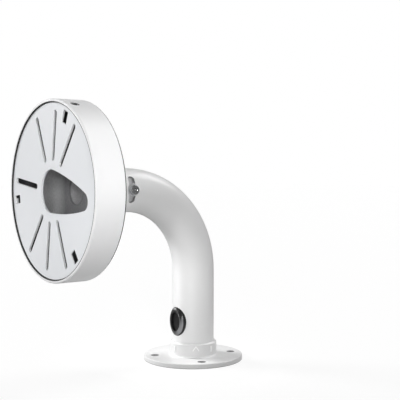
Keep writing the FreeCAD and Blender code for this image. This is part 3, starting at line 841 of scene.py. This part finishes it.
class FormTree:
    """A Geometry Nodes tree with named inputs, built in code."""

    title = "Form"

    def __init__(self) -> None:
        """Makes the tree with its geometry input and output."""
        self.tree = bpy.data.node_groups.new(self.title, "GeometryNodeTree")
        self.sockets: dict[str, str] = {}
        face = self.tree.interface
        face.new_socket("Geometry", in_out="INPUT", socket_type="NodeSocketGeometry")
        face.new_socket("Geometry", in_out="OUTPUT", socket_type="NodeSocketGeometry")
        for name, kind in self.inputs().items():
            self.sockets[name] = face.new_socket(name, in_out="INPUT", socket_type=kind).identifier
        self.given = self.tree.nodes.new("NodeGroupInput")
        self.result = self.tree.nodes.new("NodeGroupOutput")
        self.grow()

    def inputs(self) -> dict[str, str]:
        """The tree's named inputs and their socket types."""
        raise NotImplementedError

    def grow(self) -> None:
        """Adds the tree's own nodes."""
        raise NotImplementedError

    def node(self, kind: str, settings: Optional[Mapping[str, object]] = None,
             values: Optional[Mapping[Union[str, int], object]] = None) -> bpy.types.Node:
        """Adds one node, sets it up and links its inputs.

        Args:
            kind: The node's type.
            settings: Its own settings.
            values: Numbers or output sockets, by the input's name or place.

        Returns:
            The node.
        """
        node = self.tree.nodes.new(kind)
        for name, setting in (settings or {}).items():
            setattr(node, name, setting)
        for name, value in (values or {}).items():
            if isinstance(value, bpy.types.NodeSocket):
                self.tree.links.new(value, node.inputs[name])
            else:
                node.inputs[name].default_value = value
        return node

    def maths(self, operation: str, first: object, second: object = 0.0) -> bpy.types.NodeSocket:
        """One Math node's result.

        Args:
            operation: Its operation.
            first: Its first value or link.
            second: Its second value or link.

        Returns:
            The result's socket.
        """
        return self.node("ShaderNodeMath", {"operation": operation}, {0: first, 1: second}).outputs[0]

    def join(self, added: bpy.types.NodeSocket) -> None:
        """Ends the tree: the new geometry is joined to the given one, as one plain mesh.

        Args:
            added: The new geometry.
        """
        whole = self.node("GeometryNodeRealizeInstances", values={0: added})
        where = self.node("GeometryNodeInputPosition")
        kept = self.node(
            "GeometryNodeStoreNamedAttribute", {"data_type": "FLOAT_VECTOR", "domain": "POINT"},
            {"Geometry": whole.outputs[0], "Name": OWN_PLACE, "Value": where.outputs[0]})
        joined = self.node("GeometryNodeJoinGeometry")
        self.tree.links.new(self.given.outputs["Geometry"], joined.inputs[0])
        self.tree.links.new(kept.outputs[0], joined.inputs[0])
        plain = self.node("GeometryNodeRealizeInstances", values={0: joined.outputs[0]})
        dressed = self.node("GeometryNodeSetMaterial", values={
            "Geometry": plain.outputs[0], "Material": self.given.outputs["Finish"]})
        self.tree.links.new(dressed.outputs[0], self.result.inputs[0])

    def attach(self, piece: bpy.types.Object) -> bpy.types.Modifier:
        """Puts the tree on a piece.

        Args:
            piece: The piece that carries it.

        Returns:
            The modifier.
        """
        modifier = piece.modifiers.new(self.title, "NODES")
        modifier.node_group = self.tree
        return modifier

    def fill(self, modifier: bpy.types.Modifier, values: Mapping[str, object]) -> None:
        """Sets the modifier's inputs.

        Args:
            modifier: The modifier that holds the tree.
            values: The inputs by name.
        """
        for name, value in values.items():
            modifier[self.sockets[name]] = value


class ThreadTree(FormTree):
    """Winds a thread's ridge round a screw's shank and joins it to the screw."""

    title = "Screw thread"

    def inputs(self) -> dict[str, str]:
        """The thread's sizes and its material."""
        return {"Length": "NodeSocketFloat", "Radius": "NodeSocketFloat", "Pitch": "NodeSocketFloat",
                "Ridge": "NodeSocketFloat", "Finish": "NodeSocketMaterial"}

    def grow(self) -> None:
        """A spiral swept with a small three-sided section, set below the head."""
        given = self.given.outputs
        turns = self.maths("DIVIDE", given["Length"], given["Pitch"])
        spiral = self.node("GeometryNodeCurveSpiral", values={
            "Resolution": 20, "Rotations": turns, "Start Radius": given["Radius"],
            "End Radius": given["Radius"], "Height": given["Length"]})
        section = self.node("GeometryNodeCurvePrimitiveCircle", values={
            "Resolution": 3, "Radius": given["Ridge"]})
        ridge = self.node("GeometryNodeCurveToMesh", values={
            "Curve": spiral.outputs[0], "Profile Curve": section.outputs[0], "Fill Caps": True})
        drop = self.maths("MULTIPLY", given["Length"], -1.0)
        below = self.node("ShaderNodeCombineXYZ", values={"Z": drop})
        moved = self.node("GeometryNodeTransform", values={
            "Geometry": ridge.outputs[0], "Translation": below.outputs[0]})
        self.join(moved.outputs[0])


class KnurlTree(FormTree):
    """Sets straight ribs round a screw's head and joins them to the screw."""

    title = "Knurled head"

    def inputs(self) -> dict[str, str]:
        """How many ribs there are, their sizes and their material."""
        return {"Ribs": "NodeSocketInt", "Radius": "NodeSocketFloat", "Rib": "NodeSocketFloat",
                "Low": "NodeSocketFloat", "Height": "NodeSocketFloat", "Finish": "NodeSocketMaterial"}

    def grow(self) -> None:
        """One upright rib on each point of a circle, turned with it."""
        given = self.given.outputs
        circle = self.node("GeometryNodeMeshCircle", {"fill_type": "NONE"}, {
            "Vertices": given["Ribs"], "Radius": given["Radius"]})
        rib = self.node("GeometryNodeMeshCylinder", {"fill_type": "NGON"}, {
            "Vertices": 6, "Side Segments": 1, "Radius": given["Rib"], "Depth": given["Height"]})
        middle = self.maths("ADD", given["Low"], self.maths("MULTIPLY", given["Height"], 0.5))
        lift = self.node("ShaderNodeCombineXYZ", values={"Z": middle})
        raised = self.node("GeometryNodeTransform", values={
            "Geometry": rib.outputs[0], "Translation": lift.outputs[0]})
        step = self.maths("DIVIDE", math.tau, given["Ribs"])
        index = self.node("GeometryNodeInputIndex")
        angle = self.node("ShaderNodeCombineXYZ", values={
            "Z": self.maths("MULTIPLY", index.outputs[0], step)})
        ribs = self.node("GeometryNodeInstanceOnPoints", values={
            "Points": circle.outputs[0], "Instance": raised.outputs[0], "Rotation": angle.outputs[0]})
        self.join(ribs.outputs[0])


def settled(piece: bpy.types.Object) -> bpy.types.Object:
    """Turns a piece's modifiers into its plain mesh.

    Args:
        piece: The piece with its modifiers.

    Returns:
        The same piece, with none left.
    """
    bpy.context.view_layer.update()
    graph = bpy.context.evaluated_depsgraph_get()
    mesh = bpy.data.meshes.new_from_object(piece.evaluated_get(graph), depsgraph=graph)
    piece.modifiers.clear()
    piece.data = mesh
    return piece


def smoothed(piece: bpy.types.Object, angle: float = 35.0) -> bpy.types.Object:
    """Shades a piece smooth, except across its sharp edges.

    Args:
        piece: The piece.
        angle: The turn between two faces, in degrees, from which their edge is sharp.

    Returns:
        The same piece.
    """
    piece.data.shade_smooth()
    piece.data.set_sharp_from_angle(angle=math.radians(angle))
    return piece


# Sub-assemblies

@dataclass
class CoatedNode:
    """A piece whose shape comes from the part, and which only gets its finish here."""

    node: str
    finish: Union[PowderCoat, PlateCoat, MouldedRubber]

    def build(self) -> None:
        """Gives the node its material."""
        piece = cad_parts[self.node]
        material = self.finish.material()
        piece.data.materials.clear()
        piece.data.materials.append(material)
        LOG.info("%s: %s, %d faces", self.node, material.name, len(piece.data.polygons))


def outward(turn: float, depth: float, seat: float) -> Matrix:
    """Where a piece about Z sits when it points away from the arm end's axis.

    Args:
        turn: Its direction from +X, in degrees.
        depth: Its place along Y.
        seat: How far its height 0 is from the axis.

    Returns:
        The move and turn.
    """
    angle = math.radians(turn)
    place = Vector((math.cos(angle) * seat, depth, AXIS_HEIGHT + math.sin(angle) * seat))
    return Matrix.Translation(place) @ Matrix.Rotation(math.pi / 2 - angle, 4, "Y")


@dataclass
class RimScrew:
    """The screw that holds the slotted plate through the cap's side wall."""

    steel: bpy.types.Material
    seat: float = 61.4 * MM

    def build(self) -> None:
        """Makes the screw and stands it in for the plain one."""
        screw = TurnedScrew(
            "rim_screw_turned", thread=2.9 * MM, length=7 * MM, head=5.2 * MM, head_height=1.5 * MM,
            head_round=0.4 * MM, key=2.8 * MM, key_depth=0.9 * MM).build(self.steel)
        screw.data.transform(outward(RIM_SCREW_TURN, RIM_SCREW_PLACE, self.seat))
        smoothed(screw)
        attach(screw, "head")
        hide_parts("rim_screw_1")
        LOG.info("%s: %d faces", screw.name, len(screw.data.polygons))


@dataclass
class SwivelClamp:
    """The screw and washer that clamp the cap on the arm's end."""

    steel: bpy.types.Material
    bright: bpy.types.Material
    turn: float = 1.5
    seat: float = 16.1 * MM
    washer_outer: float = 9 * MM
    washer_hole: float = 4.4 * MM
    washer_thick: float = 0.8 * MM
    washer_edge: float = 0.15 * MM

    def build(self) -> None:
        """Makes the screw and the washer and stands them in for the plain ones."""
        screw = TurnedScrew(
            "clamp_screw_turned", thread=4 * MM, length=8.2 * MM, head=7 * MM, head_height=2.6 * MM,
            head_round=0.6 * MM, key=2.5 * MM, key_depth=1.5 * MM, pitch=0.7 * MM,
            ribs=36).build(self.steel)
        screw.data.transform(outward(self.turn, CLAMP_PLACE, self.seat + self.washer_thick))
        washer = bpy.data.objects.new("clamp_washer_pressed", turned_mesh(
            "clamp_washer_pressed", self.washer_rings(), 64, hollow=True))
        bpy.context.scene.collection.objects.link(washer)
        washer.data.transform(outward(self.turn, CLAMP_PLACE, self.seat))
        washer.data.materials.append(self.bright)
        for piece, node in ((screw, "clamp_screw"), (washer, "clamp_washer")):
            smoothed(piece)
            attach(piece, "head")
            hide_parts(node)
            LOG.info("%s: %d faces", piece.name, len(piece.data.polygons))

    def washer_rings(self) -> list[Ring]:
        """The washer's section, rounded where it was punched."""
        outer, hole = self.washer_outer / 2, self.washer_hole / 2
        top, edge = self.washer_thick, self.washer_edge
        return [Ring(0.0, hole + edge), Ring(0.0, outer - edge),
                Ring(edge, outer), Ring(top - edge, outer),
                Ring(top, outer - edge), Ring(top, hole + edge),
                Ring(top - edge, hole), Ring(edge, hole)]


# Studio

class LampKind(Enum):
    """How a lamp's light spreads, by the name of its type."""

    PARALLEL = "SUN"
    CONE = "SPOT"

    def lamp(self, name: str, power: float) -> bpy.types.Light:
        """Makes the data of a lamp of this kind."""
        data = bpy.data.lights.new(name, self.value)
        data.energy = power
        return data


def direction(turn: float, lift: float) -> Vector:
    """The direction from the origin that has a turn and a lift.

    Args:
        turn: Its turn from +X towards +Y, in degrees.
        lift: Its angle over the floor, in degrees.

    Returns:
        The direction, of length 1.
    """
    turn, lift = math.radians(turn), math.radians(lift)
    return Vector((math.cos(turn) * math.cos(lift), math.sin(turn) * math.cos(lift), math.sin(lift)))


def stand(name: str, data: bpy.types.ID, place: Sequence[float], back: Vector) -> bpy.types.Object:
    """Stands a lamp or the camera in the scene.

    Args:
        name: Its name.
        data: Its data.
        place: Where it stands.
        back: The direction that its back faces.

    Returns:
        The object.
    """
    item = bpy.data.objects.new(name, data)
    bpy.context.scene.collection.objects.link(item)
    item.location = place
    item.rotation_mode = "QUATERNION"
    item.rotation_quaternion = back.to_track_quat("Z", "Y")
    return item


@dataclass
class Softbox:
    """A large far lamp that lights the whole floor alike, with soft-edged shadows."""

    name: str
    turn: float
    lift: float
    strength: float
    softness: float = 26.0
    away: float = 2.0

    def build(self) -> None:
        """Makes the lamp and turns it to the origin."""
        data = LampKind.PARALLEL.lamp(self.name, self.strength)
        data.angle = math.radians(self.softness)
        source = direction(self.turn, self.lift)
        stand(self.name, data, source * self.away, source)


@dataclass
class Accent:
    """A narrow soft lamp on one part of the object."""

    name: str
    place: Place
    aim: Place
    spread: float
    power: float
    radius: float = 0.05

    def build(self) -> None:
        """Makes the lamp and turns it to its aim."""
        data = LampKind.CONE.lamp(self.name, self.power)
        data.spot_size = math.radians(self.spread)
        data.spot_blend = 1.0
        data.shadow_soft_size = self.radius
        lamp = stand(self.name, data, self.place, Vector(self.place) - Vector(self.aim))
        lamp.visible_camera = False


@dataclass
class Studio:
    """The pale floor, the soft light and the camera at the photograph's angle."""

    ambient: float = 0.32
    floor_tone: float = 0.3
    seen_tone: float = 0.2
    seen_glow: float = 0.81
    flange_radius: float = 37 * MM
    gloss_radius: float = 150 * MM
    floor_half: float = 6.0
    mottle_size: float = 40 * MM
    mottle_share: float = 0.99
    azimuth: float = 52.722
    elevation: float = 1.996
    eye: Place = (0.5081, -0.3800, 0.1446)
    lens: float = 74.023
    sensor: float = 36.0
    lamps: tuple[Union[Softbox, Accent], ...] = (
        Softbox("left", 210.0, 20.0, 2.01),
        Softbox("back", 90.0, 45.0, 1.15),
        Softbox("front", 315.0, 12.0, 0.75),
        Accent("cap_side", (1.1, -0.30, 0.22), (0.063, -0.111, 0.144), 6.4, 30.0),
        Accent("cavity", (0.850, -0.510, 0.19), (-0.026, -0.1006, 0.131), 3.4, 32.0),
        Accent("tube_front", (0.779, -0.470, 0.35), (0.0, 0.0, 0.055), 9.0, 13.0),
        Accent("tube_left", (-0.450, -0.799, 0.05), (0.0, 0.0, 0.055), 9.0, 8.0),
        Accent("flange_left", (-0.50, -0.20, 1.10), (-0.005, -0.015, 0.0), 6.5, 27.0),
        Accent("bend_low", (0.450, -0.799, 0.05), (0.0, -0.004, 0.08), 6.5, 8.0),
    )

    def build(self) -> None:
        """Makes the world, the floor, the lamps and the camera."""
        self.build_world()
        self.build_floor()
        for lamp in self.lamps:
            lamp.build()
        self.build_camera()

    def build_world(self) -> None:
        """A plain surround: white to the camera, dimmer as a light and in gloss."""
        world = bpy.data.worlds.new("surround")
        bpy.context.scene.world = world
        graph = Graph(world)
        white = opaque(WHITE)
        lit, seen = (
            graph.add("ShaderNodeBackground", values={"Color": white, "Strength": strength})
            for strength in (self.ambient, 1.0))
        direct = graph.add("ShaderNodeLightPath", output="Is Camera Ray")
        graph.end(graph.add("ShaderNodeMixShader", values={0: direct, 1: lit, 2: seen}),
                  "ShaderNodeOutputWorld")

    def floor_shader(self, graph: Graph, mottle: Port, tone: float, glow: Value) -> Port:
        """One of the floor's two shaders, a little mottled.

        Args:
            graph: The floor's graph.
            mottle: Its cloudy noise.
            tone: How pale it is.
            glow: How much of its white doesn't come from the lamps.

        Returns:
            The shader.
        """
        base = graph.blend(mottle, opaque(WHITE, tone * self.mottle_share), opaque(WHITE, tone))
        return graph.shader({
            "Base Color": base, "Roughness": 0.9, "Specular IOR Level": 0.1,
            "Emission Color": glow, "Emission Strength": 1.0})

    def seen_rays(self, graph: Graph, distance: Port) -> Port:
        """1 for rays that see the floor as white: straight, or in gloss if it is near.

        Args:
            graph: The floor's graph.
            distance: How far the point is from the origin.

        Returns:
            The mask.
        """
        direct = graph.add("ShaderNodeLightPath", output="Is Camera Ray")
        gloss = graph.add("ShaderNodeLightPath", output="Is Glossy Ray")
        return direct.larger(gloss * distance.below(self.gloss_radius))

    def build_floor(self) -> None:
        """A wide pale floor under the wall flange."""
        half = self.floor_half
        corners = [(-half, -half, 0.0), (half, -half, 0.0), (half, half, 0.0), (-half, half, 0.0)]
        mesh = bpy.data.meshes.new("floor")
        mesh.from_pydata(corners, [], [(0, 1, 2, 3)])
        floor = bpy.data.objects.new("floor", mesh)
        bpy.context.scene.collection.objects.link(floor)
        material = bpy.data.materials.new("pale_floor")
        graph = Graph(material)
        place = graph.place()
        mottle = graph.noise(place, self.mottle_size, 2.0)
        dark = opaque(WHITE, 0.0)
        lit = self.floor_shader(graph, mottle, self.floor_tone, dark)
        x, y, _ = graph.split(place)
        distance = x.distance(y)
        glow = graph.blend(distance.above(self.flange_radius), dark, opaque(WHITE, self.seen_glow))
        seen = self.floor_shader(graph, mottle, self.seen_tone, glow)
        graph.end(graph.add("ShaderNodeMixShader", values={
            0: self.seen_rays(graph, distance), 1: lit, 2: seen}), "ShaderNodeOutputMaterial")
        mesh.materials.append(material)

    def build_camera(self) -> None:
        """The camera, level, at the photograph's angle."""
        data = bpy.data.cameras.new("camera")
        data.sensor_width = self.sensor
        data.lens = self.lens
        back = direction(self.azimuth - 90.0, self.elevation)
        bpy.context.scene.camera = stand("camera", data, self.eye, back)


def main() -> None:
    """Builds the studio, the finishes and the pieces in order."""
    logging.basicConfig(level=logging.INFO, format="%(name)s: %(message)s")
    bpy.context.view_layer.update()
    bpy.context.scene.view_settings.view_transform = "Standard"
    Studio().build()
    # The flange's bare colour is dark as painted shade in its screw holes.
    CoatedNode("wall_flange", FlangeCoat(
        "flange_powder_coat", (0.87, 0.87, 0.87), bare=(0.38, 0.38, 0.385))).build()
    # The arm's bare colour is dark as painted shade in the clamp's slot.
    CoatedNode("arm_tube", ArmCoat(
        "arm_powder_coat", (0.80, 0.80, 0.80), bare=(0.3, 0.3, 0.305))).build()
    CoatedNode("camera_cap", CapCoat("cap_powder_coat", (0.885, 0.885, 0.89))).build()
    CoatedNode("mounting_plate", PlateCoat("plate_paint", (0.845, 0.86, 0.885))).build()
    CoatedNode("cable_plug", MouldedRubber("black_rubber", (0.006, 0.006, 0.006))).build()
    steel = TurnedSteel("turned_steel", (0.42, 0.425, 0.43)).material()
    bright = TurnedSteel("bright_steel", (0.85, 0.86, 0.87), roughness=0.34).material()
    RimScrew(steel).build()
    SwivelClamp(steel, bright).build()


if __name__ == "__main__":
    main()
